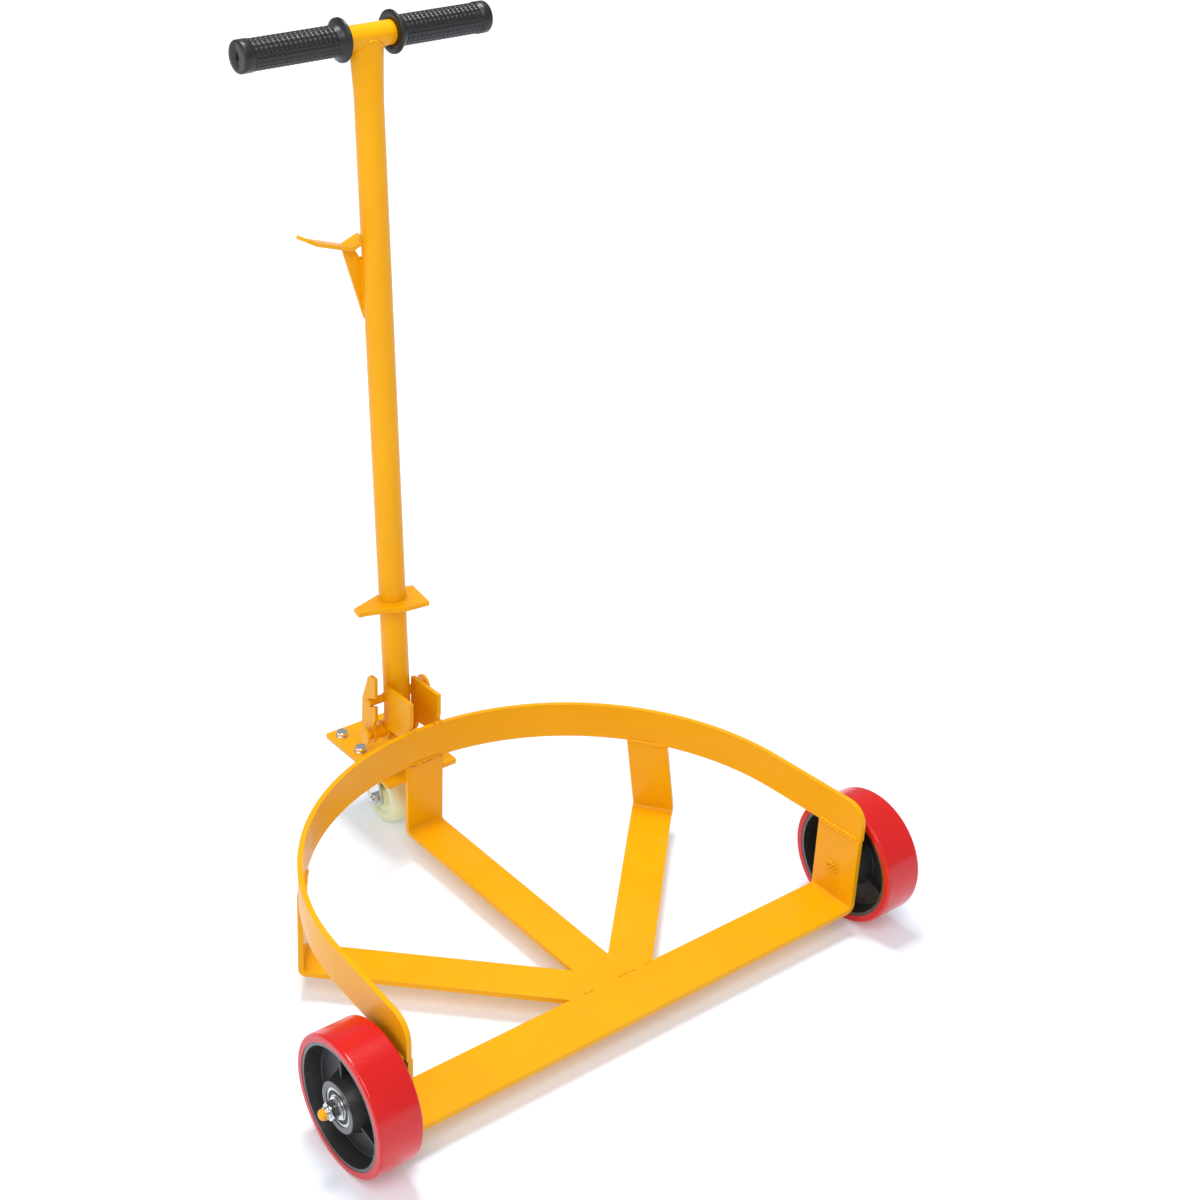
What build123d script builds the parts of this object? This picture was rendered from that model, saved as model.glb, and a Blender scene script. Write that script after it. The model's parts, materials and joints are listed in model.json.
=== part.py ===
from build123d import *
import math
import os

# Low-profile drum caddy with a tilting T-handle. Millimetres, +Z up. X runs along the road-wheel axles, and
# +Y points from the open front to the handle. Everything is drawn round the centre of the drum ring, and moved
# at the end so that the origin is on the floor under the middle of the caddy.

# ---- driving dimensions -------------------------------------------------------------------------------------
PLATE = 6.0                      # flat bar thickness of the welded frame

RING_INNER_RADIUS = 301.5        # takes a 200 litre drum
RING_HEIGHT = 45.0
RING_BOTTOM = 129.0
RING_TOP = RING_BOTTOM + RING_HEIGHT
RING_OUTER_RADIUS = RING_INNER_RADIUS + PLATE
RING_MID_RADIUS = RING_INNER_RADIUS + PLATE / 2
TAIL_FLARE = 3.0                 # degrees that each straight tail opens outward
TAIL_CORNER_RADIUS = 25.0

CROSSBAR_WIDTH = 65.0
CROSSBAR_Y = -92.5
CROSSBAR_TOP = 35.0
CROSSBAR_FRONT = CROSSBAR_Y - CROSSBAR_WIDTH / 2
CROSSBAR_BACK = CROSSBAR_Y + CROSSBAR_WIDTH / 2
BEND_RADIUS = 4.0                # inside radius of every cold bend

SPOKE_WIDTH = 50.0
SPOKE_ANGLE = 45.0               # side spokes, measured from the X axis
SPOKE_ORIGIN_Y = -83.0           # where the three spoke centre lines meet
FOLD_ANGLE = 37.0                # the side spokes fold up square to this direction

DECK_HALF_WIDTH = 50.0
DECK_FRONT = RING_OUTER_RADIUS
DECK_BACK = 447.0
DECK_CORNER_RADIUS = 2.0
DECK_TOP = RING_BOTTOM - 20.0
DECK_BOTTOM = DECK_TOP - PLATE

AXLE_Y = -90.0
WHEEL_RADIUS = 76.2
WHEEL_WIDTH = 50.0
WHEEL_X = 346.5                  # centre plane of each road wheel
TYRE_INNER_RADIUS = 67.8
RIM_INNER_RADIUS = 64.0
RIM_HALF_WIDTH = WHEEL_WIDTH / 2 - 0.5
BOSS_HALF_WIDTH = WHEEL_WIDTH / 2 + 0.5
BOSS_RADIUS = 27.5
BOSS_FLARE = 6.0                 # how much wider the boss is where it meets the web
BOSS_BORE_RADIUS = 18.0
WEB_HALF_THICKNESS = 6.5
RIM_TAPER = 4.5                  # how much thicker the rim is where it meets the web
HUB_RIBS = 3
HUB_RIB_THICKNESS = 3.0
HUB_RIB_INSET = 7.0              # rib ends below the rim's face
HUB_RIB_DIP = 1.5                # how far each rib's edge sags between the boss and the rim
HUB_RIB_TURN = 78.0              # degrees from +Y to the first rib

BEARING_OUTER_RADIUS = 21.0      # 20 x 42 x 12 ball bearing
BEARING_BORE_RADIUS = 10.0
BEARING_WIDTH = 12.0
BEARING_FACE = 24.6              # from the wheel's centre plane to each bearing's outer face
INNER_RING_RADIUS = 13.4
OUTER_RING_BORE_RADIUS = 18.0
SEAL_THICKNESS = 1.5
SEAL_INSET = 0.5
BALL_RADIUS = 3.2
BALL_CIRCLE = 15.5
BALLS = 9

STUD_THREAD_RADIUS = 6.0
STUD_TIP_X = 392.5
STUD_TIP_FILLET = 4.0
AXLE_NUT_FLATS = 18.0
AXLE_NUT_HEIGHT = 9.6
AXLE_WASHER_RADIUS = 12.0
AXLE_WASHER_THICKNESS = 2.0

CASTER_Y = 410.0                 # swivel axis
CASTER_TRAIL = 28.0
CASTER_RADIUS = 37.5
CASTER_WIDTH = 28.0
CASTER_BOLT_X = 36.0
CASTER_BOLT_SPACING_Y = 42.0
CASTER_PLATE = 3.0
CASTER_PLATE_SIZE = (92.0, 64.0)
CASTER_BOLT_RADIUS = 4.0
CASTER_BOLT_FLATS = 13.0
CASTER_BOLT_HOLE_RADIUS = 4.5
WASHER_THICKNESS = 1.6
BOLT_HEAD_HEIGHT = 5.3
BOLT_NUT_HEIGHT = 6.5
FORK_SHEET = 3.0
FORK_INNER = 16.0                # half gap between the fork legs
FORK_OUTER = FORK_INNER + FORK_SHEET
FORK_EYE_RADIUS = 11.0
CROWN_TOP = 86.0
CROWN_RADIUS = 26.0
RACE_RADIUS = 25.0
RACE_DEPTH = 5.0
SWIVEL_BALLS = 12
SWIVEL_BALL_RADIUS = 3.5
SWIVEL_BALL_CIRCLE = 17.0
SWIVEL_BALL_Z = DECK_BOTTOM - CASTER_PLATE - 6.5
KINGPIN_RADIUS = 5.0
SLEEVE_RADIUS = 6.0
CASTER_AXLE_Y = CASTER_Y - CASTER_TRAIL
CASTER_CROWN = 6.0               # how far the rounded tread falls away at its edges

PIVOT_Y = 360.0
PIVOT_Z = 150.0
HANDLE_LEAN = 3.65               # degrees that the upright handle leans back
POLE_RADIUS = 16.0
POLE_WALL = 2.5
T_BAR_HEIGHT = 816.5             # along the pole, from the pivot to the T-bar's axis
T_BAR_RADIUS = 13.0
T_BAR_LENGTH = 300.0
GRIP_START = 31.0
GRIP_END = 156.0
GRIP_RADIUS = 16.3
GRIP_FLANGE_RADIUS = 23.0
T_BAR_TURN = 2.6                 # degrees, the T-bar is welded on slightly askew
T_BAR_TILT = -1.2
NECK_HALF_WIDTH = 19.5           # the pole's flattened top under the T-bar
NECK_HALF_DEPTH = 12.5
PIN_RADIUS = 5.0
PIN_HEAD = 4.0
PIN_HEAD_RADIUS = 10.0           # of the pivot pin
STOP_HEAD_RADIUS = 12.0
RUNNING_CLEARANCE = 0.06         # radial, on everything that turns

LUG_THICKNESS = 5.0
LUG_INNER = 17.0                 # half gap between the two lugs
LUG_OUTER = LUG_INNER + LUG_THICKNESS
LUG_FRONT = 301.5
LUG_BACK = 357.6                 # the stop pin rests here when the handle is upright
LUG_TOP = 214.0
LUG_BOTTOM = 155.5
LUG_EYE_RADIUS = 12.0
STOP_PIN_HEIGHT = 43.0           # along the pole, from the pivot
STOP_PIN_LEFT = -42.0
STOP_PIN_RIGHT = 41.0
SIDE_PLATE_X = -38.0             # centre plane of the slotted side plate
SIDE_PLATE_THICKNESS = 4.0
SIDE_PLATE_SLOT_RISE = 25.0      # degrees that the slot climbs towards the plate's front edge
PIVOT_PIN_LEFT = -49.5
PIVOT_COLLAR_RADIUS = 8.0

WRENCH_HEIGHT = 170.0            # top face, along the pole from the pivot
WRENCH_THICKNESS = 5.0
HOOK_HEIGHT = 594.8              # lowest bend of the drum hook, along the pole from the pivot
HOOK_WIDTH = 24.0                # the hook reaches this far back from the pole's axis
HOOK_THICKNESS = 4.0
BRACE_THICKNESS = 3.5
BRACE_BACK = 12.5                # back face of the brace, from the pole's axis
BRACE_LENGTH = 82.0


# ---- helpers ------------------------------------------------------------------------------------------------
def x_cylinder(radius, x_start, x_end, y, z):
    """A round bar along X."""
    low = min(x_start, x_end)
    plane = Plane(origin=(low, y, z), x_dir=(0, 1, 0), z_dir=(1, 0, 0))
    return plane * extrude(Circle(radius), abs(x_end - x_start))


def x_tube(outer, inner, x_start, x_end, y, z):
    """A round tube along X."""
    return x_cylinder(outer, x_start, x_end, y, z) - x_cylinder(inner, x_start, x_end, y, z)


def x_hex(flats, x_start, x_end, y, z):
    """A hexagon bar along X, with chamfered corners."""
    low = min(x_start, x_end)
    length = abs(x_end - x_start)
    plane = Plane(origin=(low, y, z), x_dir=(0, 1, 0), z_dir=(1, 0, 0))
    prism = extrude(RegularPolygon(flats / 2, 6, major_radius=False), length)
    barrel = chamfer(extrude(Circle(flats / 2 * 1.12), length).edges(), flats * 0.06)
    return plane * (prism & barrel)


def z_cylinder(radius, z_start, z_end, x, y):
    """A round bar along Z."""
    return Pos(x, y, z_start) * extrude(Circle(radius), z_end - z_start)


def z_hex(flats, z_start, z_end, x, y):
    """A hexagon bar along Z, with chamfered corners."""
    length = z_end - z_start
    prism = extrude(RegularPolygon(flats / 2, 6, major_radius=False), length)
    barrel = chamfer(extrude(Circle(flats / 2 * 1.12), length).edges(), flats * 0.06)
    return Pos(x, y, z_start) * (prism & barrel)


def yz_plate(face, x_centre, thickness):
    """A plate cut from a face drawn in Y and Z, standing across X."""
    plane = Plane(origin=(x_centre - thickness / 2, 0, 0), x_dir=(0, 1, 0), z_dir=(1, 0, 0))
    return plane * extrude(face, thickness)


def closed_face(points):
    """A face inside a closed outline of straight edges, facing up whichever way round the points run."""
    ring = list(zip(points, points[1:] + points[:1]))
    doubled_area = sum(a[0] * b[1] - b[0] * a[1] for a, b in ring)
    ordered = points if doubled_area > 0 else points[::-1]
    return make_face(Polyline(*ordered, close=True))


def first_solid(shape):
    """The only solid of a result."""
    return shape.solids()[0]


def largest_solid(shape):
    """The biggest piece left after a cut."""
    return sorted(shape.solids(), key=lambda solid: solid.volume)[-1]


def handle(shape):
    """Moves a shape from the handle's own frame (pivot at the origin, pole along Z) into place."""
    return Pos(0, PIVOT_Y, PIVOT_Z) * Rot(-HANDLE_LEAN, 0, 0) * shape


def mirror_x(shape):
    """The same piece on the other side of the caddy."""
    return mirror(shape, about=Plane.YZ)


# ---- welded frame -------------------------------------------------------------------------------------------
def tail_x(y, offset):
    """X of the ring's right tail at y, offset outward from the middle of the bar."""
    flare = math.radians(TAIL_FLARE)
    start_x = (RING_MID_RADIUS + offset) * math.cos(flare)
    start_y = (RING_MID_RADIUS + offset) * math.sin(flare)
    return start_x + (start_y - y) * math.tan(flare)


EAR_X = tail_x(CROSSBAR_Y, 0.0)
EAR_OUTER = EAR_X + PLATE / 2
EAR_INNER = EAR_X - PLATE / 2


def ring_band():
    def outline(offset):
        radius = RING_MID_RADIUS + offset
        arc = CenterArc((0, 0), radius, TAIL_FLARE, 180 - 2 * TAIL_FLARE)
        end_x = tail_x(CROSSBAR_FRONT, offset)
        right = Line(arc @ 0, (end_x, CROSSBAR_FRONT))
        left = Line(arc @ 1, (-end_x, CROSSBAR_FRONT))
        closing = Line((end_x, CROSSBAR_FRONT), (-end_x, CROSSBAR_FRONT))
        return make_face(Curve() + [right, arc, left, closing])

    band = extrude(outline(PLATE / 2) - outline(-PLATE / 2), RING_HEIGHT)
    band = Pos(0, 0, RING_BOTTOM) * band
    depth = RING_OUTER_RADIUS + 10 - CROSSBAR_FRONT
    side = Pos(CROSSBAR_FRONT + depth / 2, RING_BOTTOM + RING_HEIGHT / 2) * Rectangle(depth, RING_HEIGHT)
    corner = side.vertices().sort_by(Axis.X)[:2].sort_by(Axis.Y)[-1]
    side = fillet(corner, TAIL_CORNER_RADIUS)
    return first_solid(band & yz_plate(side, 0, 4 * RING_OUTER_RADIUS))


def crossbar():
    bottom = CROSSBAR_TOP - PLATE
    height = RING_BOTTOM - bottom
    outer = Pos(0, bottom + height / 2) * Rectangle(2 * EAR_OUTER, height)
    outer = fillet(outer.vertices().sort_by(Axis.Y)[:2], BEND_RADIUS + PLATE)
    inner = Pos(0, CROSSBAR_TOP + height / 2) * Rectangle(2 * EAR_INNER, height)
    inner = fillet(inner.vertices().sort_by(Axis.Y)[:2], BEND_RADIUS)
    plane = Plane(origin=(0, CROSSBAR_BACK, 0), x_dir=(1, 0, 0), z_dir=(0, -1, 0))
    bar = plane * extrude(outer - inner, CROSSBAR_WIDTH)
    return first_solid(bar - axle_bar(BEARING_BORE_RADIUS, -EAR_OUTER - 1, EAR_OUTER + 1))


def spoke(edge_start, edge_end, inner_points, fold_direction, lean):
    """A flat arm that folds up into a riser.

    edge_start and edge_end are the two long edges of the arm, each a point and a direction. inner_points close
    the arm's inner end. The fold is square to fold_direction, and the riser leans along the fold by lean.
    """
    outward = Vector(math.cos(fold_direction), math.sin(fold_direction), 0)
    along = Vector(-math.sin(fold_direction), math.cos(fold_direction), 0)
    outer_bend = BEND_RADIUS + PLATE
    fold_distance = RING_OUTER_RADIUS - outer_bend

    def reach(edge):
        point, direction = edge
        travel = (fold_distance - point.dot(outward)) / direction.dot(outward)
        return point + direction * travel

    first = reach(edge_start)
    second = reach(edge_end)
    flat = [(p.X, p.Y) for p in [first] + inner_points + [second]]
    arm = Pos(0, 0, CROSSBAR_TOP - PLATE) * extrude(closed_face(flat), PLATE)

    start = min(first.dot(along), second.dot(along))
    length = abs(first.dot(along) - second.dot(along))
    base = outward * fold_distance + along * start
    bend_centre = Vector(base.X, base.Y, CROSSBAR_TOP + BEND_RADIUS)
    section = Plane(origin=bend_centre, x_dir=outward, z_dir=Vector(0, 0, 1).cross(outward))
    quarter = Circle(outer_bend) - Circle(BEND_RADIUS)
    quarter &= Pos(outer_bend / 2, outer_bend / 2) * Rectangle(outer_bend, outer_bend)
    bend = section * extrude(quarter, length)

    riser_height = RING_BOTTOM - bend_centre.Z
    shift = riser_height * math.tan(lean)
    face = closed_face([(0, 0), (length, 0), (length + shift, riser_height), (shift, riser_height)])
    riser_origin = bend_centre + outward * BEND_RADIUS
    riser_plane = Plane(origin=riser_origin, x_dir=along, z_dir=along.cross(Vector(0, 0, 1)))
    riser = riser_plane * extrude(face, PLATE)
    return first_solid(arm + bend + riser)


def spoke_middle():
    half = SPOKE_WIDTH / 2
    up = Vector(0, 1, 0)
    left = (Vector(-half, CROSSBAR_BACK, 0), up)
    right = (Vector(half, CROSSBAR_BACK, 0), up)
    inner = [Vector(-half, CROSSBAR_BACK, 0), Vector(half, CROSSBAR_BACK, 0)]
    return spoke(left, right, inner, math.radians(90), 0.0)


def spoke_right():
    half = SPOKE_WIDTH / 2
    angle = math.radians(SPOKE_ANGLE)
    direction = Vector(math.cos(angle), math.sin(angle), 0)
    drop = half / math.cos(angle)
    upper_start = Vector(half, half + SPOKE_ORIGIN_Y + drop, 0)
    lower_x = CROSSBAR_BACK - SPOKE_ORIGIN_Y + drop
    lower_start = Vector(lower_x, CROSSBAR_BACK, 0)
    corner = Vector(half, CROSSBAR_BACK, 0)
    inner = [upper_start, corner, lower_start]
    lean = math.radians(SPOKE_ANGLE - FOLD_ANGLE)
    return spoke((upper_start, direction), (lower_start, direction), inner, math.radians(FOLD_ANGLE), lean)


def caster_deck():
    length = DECK_BACK - DECK_FRONT
    sheet = fillet(Rectangle(2 * DECK_HALF_WIDTH, length).vertices(), DECK_CORNER_RADIUS)
    deck = Pos(0, DECK_FRONT + length / 2, DECK_BOTTOM) * extrude(sheet, PLATE)
    for x, y in caster_bolt_places():
        deck -= z_cylinder(CASTER_BOLT_HOLE_RADIUS, DECK_BOTTOM - 1, DECK_TOP + 1, x, y)
    return first_solid(deck)


def hinge_lug(side):
    """Plate beside the pole, welded to the ring: the pivot pin turns in its eye, and its back edge is a stop."""
    outline = closed_face([
        (LUG_FRONT, LUG_TOP), (LUG_FRONT, RING_TOP + 13), (RING_MID_RADIUS, RING_TOP),
        (RING_MID_RADIUS, LUG_BOTTOM + 10), (RING_OUTER_RADIUS + 4, LUG_BOTTOM + 10),
        (RING_OUTER_RADIUS + 18, LUG_BOTTOM + 2), (PIVOT_Y - LUG_EYE_RADIUS, LUG_BOTTOM),
        (LUG_BACK, LUG_BOTTOM), (LUG_BACK, LUG_TOP - 1)])
    outline += Pos(PIVOT_Y, PIVOT_Z) * Circle(LUG_EYE_RADIUS)
    outline -= Pos(PIVOT_Y, PIVOT_Z) * Circle(PIN_RADIUS + RUNNING_CLEARANCE)
    lug = yz_plate(outline, side * (LUG_INNER + LUG_THICKNESS / 2), LUG_THICKNESS)
    return first_solid(lug - z_cylinder(RING_OUTER_RADIUS, RING_BOTTOM, RING_TOP, 0, 0))


# ---- road wheels (drawn on the +X side) ---------------------------------------------------------------------
def wheel_plane():
    """The right wheel's own frame: Z along the axle, X pointing to the back of the caddy."""
    return Plane(origin=(WHEEL_X, AXLE_Y, WHEEL_RADIUS), x_dir=(0, 1, 0), z_dir=(1, 0, 0))


def axle_bar(radius, x_start, x_end):
    """A round bar on the road wheels' axle line."""
    return x_cylinder(radius, x_start, x_end, AXLE_Y, WHEEL_RADIUS)


def axle_ring(outer, inner, x_start, x_end):
    """A tube on the road wheels' axle line."""
    return x_tube(outer, inner, x_start, x_end, AXLE_Y, WHEEL_RADIUS)


def axle_stud():
    """Welded through the ear: a plain seat for the bearings, then a thread for the nut."""
    shoulder = WHEEL_X + BEARING_FACE - 0.5
    seat = axle_bar(BEARING_BORE_RADIUS, EAR_INNER, shoulder)
    thread = axle_bar(STUD_THREAD_RADIUS, shoulder, STUD_TIP_X)
    thread = fillet(thread.edges().group_by(Axis.X)[-1], STUD_TIP_FILLET)
    return first_solid(seat + thread)


def axle_spacers():
    """A long tube from the ear to the inboard bearing, and one between the two bearings."""
    gap = BEARING_FACE - BEARING_WIDTH
    inboard = axle_ring(INNER_RING_RADIUS, BEARING_BORE_RADIUS, EAR_OUTER, WHEEL_X - BEARING_FACE)
    between = axle_ring(INNER_RING_RADIUS, BEARING_BORE_RADIUS, WHEEL_X - gap, WHEEL_X + gap)
    return [inboard, between]


def axle_washer():
    start = WHEEL_X + BEARING_FACE
    return axle_ring(AXLE_WASHER_RADIUS, STUD_THREAD_RADIUS, start, start + AXLE_WASHER_THICKNESS)


def axle_nut():
    start = WHEEL_X + BEARING_FACE + AXLE_WASHER_THICKNESS
    end = start + AXLE_NUT_HEIGHT
    nut = x_hex(AXLE_NUT_FLATS, start, end, AXLE_Y, WHEEL_RADIUS)
    return first_solid(nut - axle_bar(STUD_THREAD_RADIUS, start - 1, end + 1))


def bearing_starts():
    """The low-X face of each of the wheel's two bearings."""
    return [WHEEL_X - BEARING_FACE, WHEEL_X + BEARING_FACE - BEARING_WIDTH]


def ball_groove(centre_x):
    """The torus that a bearing's balls run in."""
    plane = Plane(origin=(centre_x, AXLE_Y, WHEEL_RADIUS), x_dir=(0, 1, 0), z_dir=(1, 0, 0))
    return plane * Torus(BALL_CIRCLE, BALL_RADIUS + RUNNING_CLEARANCE)


def bearing_rings(outer, inner):
    """The same ring, with its ball groove, in both of the wheel's bearings."""
    rings = []
    for start in bearing_starts():
        ring = axle_ring(outer, inner, start, start + BEARING_WIDTH)
        rings.append(first_solid(ring - ball_groove(start + BEARING_WIDTH / 2)))
    return rings


def bearing_balls():
    balls = []
    for start in bearing_starts():
        for index in range(BALLS):
            turn = 2 * math.pi * index / BALLS
            y = AXLE_Y + BALL_CIRCLE * math.cos(turn)
            z = WHEEL_RADIUS + BALL_CIRCLE * math.sin(turn)
            balls.append(Pos(start + BEARING_WIDTH / 2, y, z) * Sphere(BALL_RADIUS))
    return balls


def bearing_seals():
    """A rubber seal in each side of each bearing, held by the outer ring and clear of the inner one."""
    seals = []
    bore = INNER_RING_RADIUS + 0.1
    for start in bearing_starts():
        for face in (start + SEAL_INSET, start + BEARING_WIDTH - SEAL_INSET - SEAL_THICKNESS):
            seals.append(axle_ring(OUTER_RING_BORE_RADIUS, bore, face, face + SEAL_THICKNESS))
    return seals


def wheel_hub():
    """Cast web-and-rib wheel centre with a bearing seat at each end of its boss."""
    web = WEB_HALF_THICKNESS
    boss_foot = BOSS_RADIUS + BOSS_FLARE
    rim_foot = RIM_INNER_RADIUS - RIM_TAPER
    outer_side = [
        (BOSS_BORE_RADIUS, BOSS_HALF_WIDTH), (BOSS_RADIUS, BOSS_HALF_WIDTH), (boss_foot, web), (rim_foot, web),
        (RIM_INNER_RADIUS, RIM_HALF_WIDTH), (TYRE_INNER_RADIUS, RIM_HALF_WIDTH)]
    inner_side = [(radius, -width) for radius, width in outer_side]
    profile = closed_face(outer_side + inner_side[::-1])
    profile = fillet([v for v in profile.vertices() if abs(abs(v.Y) - web) < 0.1], 1.5)
    body = revolve(Plane.XZ * profile, axis=Axis.Z)
    for index in range(HUB_RIBS):
        body += Rot(0, 0, HUB_RIB_TURN + 360 * index / HUB_RIBS) * hub_rib()
    seat_depth = BEARING_WIDTH + BOSS_HALF_WIDTH - BEARING_FACE
    for end in (-1, 1):
        seat = Cylinder(BEARING_OUTER_RADIUS, seat_depth)
        body -= Pos(0, 0, end * (BOSS_HALF_WIDTH - seat_depth / 2)) * seat
    return first_solid(wheel_plane() * body)


def hub_rib():
    """A flat rib from the boss to the rim, along the wheel's own X, with both edges sagging to an arc."""
    inner = BOSS_RADIUS - 1.0
    outer = RIM_INNER_RADIUS + 1.0
    middle = (inner + outer) / 2
    edge = RIM_HALF_WIDTH - HUB_RIB_INSET
    upper = ThreePointArc((inner, edge), (middle, edge - HUB_RIB_DIP), (outer, edge))
    lower = ThreePointArc((inner, -edge), (middle, HUB_RIB_DIP - edge), (outer, -edge))
    ends = [Line((inner, edge), (inner, -edge)), Line((outer, edge), (outer, -edge))]
    face = make_face(Curve() + [upper, lower] + ends)
    return extrude(Plane.XZ * face, HUB_RIB_THICKNESS / 2, both=True)


def wheel_tyre():
    thickness = WHEEL_RADIUS - TYRE_INNER_RADIUS
    profile = Pos(TYRE_INNER_RADIUS + thickness / 2, 0) * Rectangle(thickness, WHEEL_WIDTH)
    profile = fillet(profile.vertices().sort_by(Axis.X)[-2:], 3.0)
    return first_solid(wheel_plane() * revolve(Plane.XZ * profile, axis=Axis.Z))


# ---- swivel caster ------------------------------------------------------------------------------------------
def caster_bolt_places():
    """X and Y of the four bolts that hold the caster."""
    half = CASTER_BOLT_SPACING_Y / 2
    return [(x, CASTER_Y + y) for x in (-CASTER_BOLT_X, CASTER_BOLT_X) for y in (-half, half)]


def swivel_groove():
    """The torus that the swivel's balls run in."""
    return Pos(0, CASTER_Y, SWIVEL_BALL_Z) * Torus(SWIVEL_BALL_CIRCLE, SWIVEL_BALL_RADIUS + RUNNING_CLEARANCE)


def caster_top_plate():
    """Flat plate with the upper ball race pressed in under it."""
    low = DECK_BOTTOM - CASTER_PLATE
    sheet = fillet(Rectangle(*CASTER_PLATE_SIZE).vertices(), 6.0)
    plate = Pos(0, CASTER_Y, low) * extrude(sheet, CASTER_PLATE)
    for x, y in caster_bolt_places():
        plate -= z_cylinder(CASTER_BOLT_HOLE_RADIUS, low - 1, DECK_BOTTOM + 1, x, y)
    plate += z_cylinder(RACE_RADIUS, low - RACE_DEPTH, low, 0, CASTER_Y) - swivel_groove()
    return first_solid(plate - z_cylinder(KINGPIN_RADIUS, low - RACE_DEPTH - 1, DECK_BOTTOM + 1, 0, CASTER_Y))


def caster_swivel_balls():
    balls = []
    for index in range(SWIVEL_BALLS):
        turn = 2 * math.pi * index / SWIVEL_BALLS
        x = SWIVEL_BALL_CIRCLE * math.cos(turn)
        y = CASTER_Y + SWIVEL_BALL_CIRCLE * math.sin(turn)
        balls.append(Pos(x, y, SWIVEL_BALL_Z) * Sphere(SWIVEL_BALL_RADIUS))
    return balls


def caster_kingpin():
    """Riveted through the top plate and the fork crown."""
    head_low = CROWN_TOP - FORK_SHEET - 4.0
    shank = z_cylinder(KINGPIN_RADIUS, head_low, DECK_BOTTOM, 0, CASTER_Y)
    head = z_cylinder(KINGPIN_RADIUS + 3, head_low, head_low + 3.9, 0, CASTER_Y)
    head = fillet(head.edges().group_by(Axis.Z)[0], 1.5)
    return first_solid(shank + head)


def caster_fork():
    """Pressed crown with the lower ball race, and two tapering legs that trail to the axle."""
    crown_low = CROWN_TOP - FORK_SHEET
    body = z_cylinder(CROWN_RADIUS, crown_low, CROWN_TOP, 0, CASTER_Y)
    shoulder = closed_face([
        (CASTER_Y - 24, CROWN_TOP - 0.5), (CASTER_Y + 18, CROWN_TOP - 0.5),
        (CASTER_Y + 18, crown_low), (CASTER_Y - 24, crown_low)])
    eye = Edge.make_circle(FORK_EYE_RADIUS, Plane((CASTER_AXLE_Y, CASTER_RADIUS, 0)))
    leg_face = make_hull([eye] + shoulder.edges())
    for side in (-1, 1):
        leg = yz_plate(leg_face, side * (FORK_INNER + FORK_SHEET / 2), FORK_SHEET)
        hole = caster_axle_bar(CASTER_BOLT_RADIUS, side * (FORK_INNER - 1), side * (FORK_OUTER + 1))
        body += leg - hole
    cup = z_cylinder(RACE_RADIUS, CROWN_TOP, CROWN_TOP + RACE_DEPTH, 0, CASTER_Y)
    cup -= z_cylinder(KINGPIN_RADIUS + 6, CROWN_TOP, CROWN_TOP + RACE_DEPTH, 0, CASTER_Y)
    body += cup - swivel_groove()
    bore = z_cylinder(KINGPIN_RADIUS + RUNNING_CLEARANCE, crown_low - 1, CROWN_TOP + 1, 0, CASTER_Y)
    return first_solid(body - bore)


def caster_axle_bar(radius, x_start, x_end):
    """A round bar on the caster wheel's axle line."""
    return x_cylinder(radius, x_start, x_end, CASTER_AXLE_Y, CASTER_RADIUS)


def caster_axle_bolt():
    shank = caster_axle_bar(CASTER_BOLT_RADIUS, -FORK_OUTER - 9.0, FORK_OUTER)
    shank = chamfer(shank.edges().group_by(Axis.X)[0], 0.8)
    head = x_hex(CASTER_BOLT_FLATS, FORK_OUTER, FORK_OUTER + BOLT_HEAD_HEIGHT, CASTER_AXLE_Y, CASTER_RADIUS)
    return first_solid(shank + head)


def caster_axle_nut():
    end = -FORK_OUTER - BOLT_NUT_HEIGHT
    nut = x_hex(CASTER_BOLT_FLATS, end, -FORK_OUTER, CASTER_AXLE_Y, CASTER_RADIUS)
    return first_solid(nut - caster_axle_bar(CASTER_BOLT_RADIUS, end - 1, -FORK_OUTER + 1))


def caster_axle_sleeve():
    sleeve = x_tube(SLEEVE_RADIUS, CASTER_BOLT_RADIUS, -FORK_INNER, FORK_INNER, CASTER_AXLE_Y, CASTER_RADIUS)
    return first_solid(sleeve)


def caster_wheel():
    """Solid nylon wheel with a rounded tread and a raised hub boss each side."""
    half = CASTER_WIDTH / 2
    shoulder = CASTER_RADIUS - CASTER_CROWN
    boss_half = FORK_INNER - 0.8
    dish_half = half - 4.0
    bore = SLEEVE_RADIUS + RUNNING_CLEARANCE
    tread = ThreePointArc((shoulder, half - 0.6), (CASTER_RADIUS, 0), (shoulder, 0.6 - half))
    side = [
        (shoulder - 1.5, half), (24, half), (21, dish_half), (15, dish_half), (13, boss_half), (bore, boss_half)]
    other_side = [(radius, -width) for radius, width in side]
    outline = Polyline((shoulder, 0.6 - half), *other_side, *side[::-1], (shoulder, half - 0.6))
    body = revolve(Plane.XZ * make_face(Curve() + [tread, outline]), axis=Axis.Z)
    plane = Plane(origin=(0, CASTER_AXLE_Y, CASTER_RADIUS), x_dir=(0, 1, 0), z_dir=(1, 0, 0))
    return first_solid(plane * body)


def caster_bolts():
    bolts = []
    head_low = DECK_TOP + WASHER_THICKNESS
    for x, y in caster_bolt_places():
        shank = z_cylinder(CASTER_BOLT_RADIUS, DECK_BOTTOM - CASTER_PLATE - 10.0, head_low, x, y)
        head = z_hex(CASTER_BOLT_FLATS, head_low, head_low + BOLT_HEAD_HEIGHT, x, y)
        bolts.append(first_solid(shank + head))
    return bolts


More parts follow.
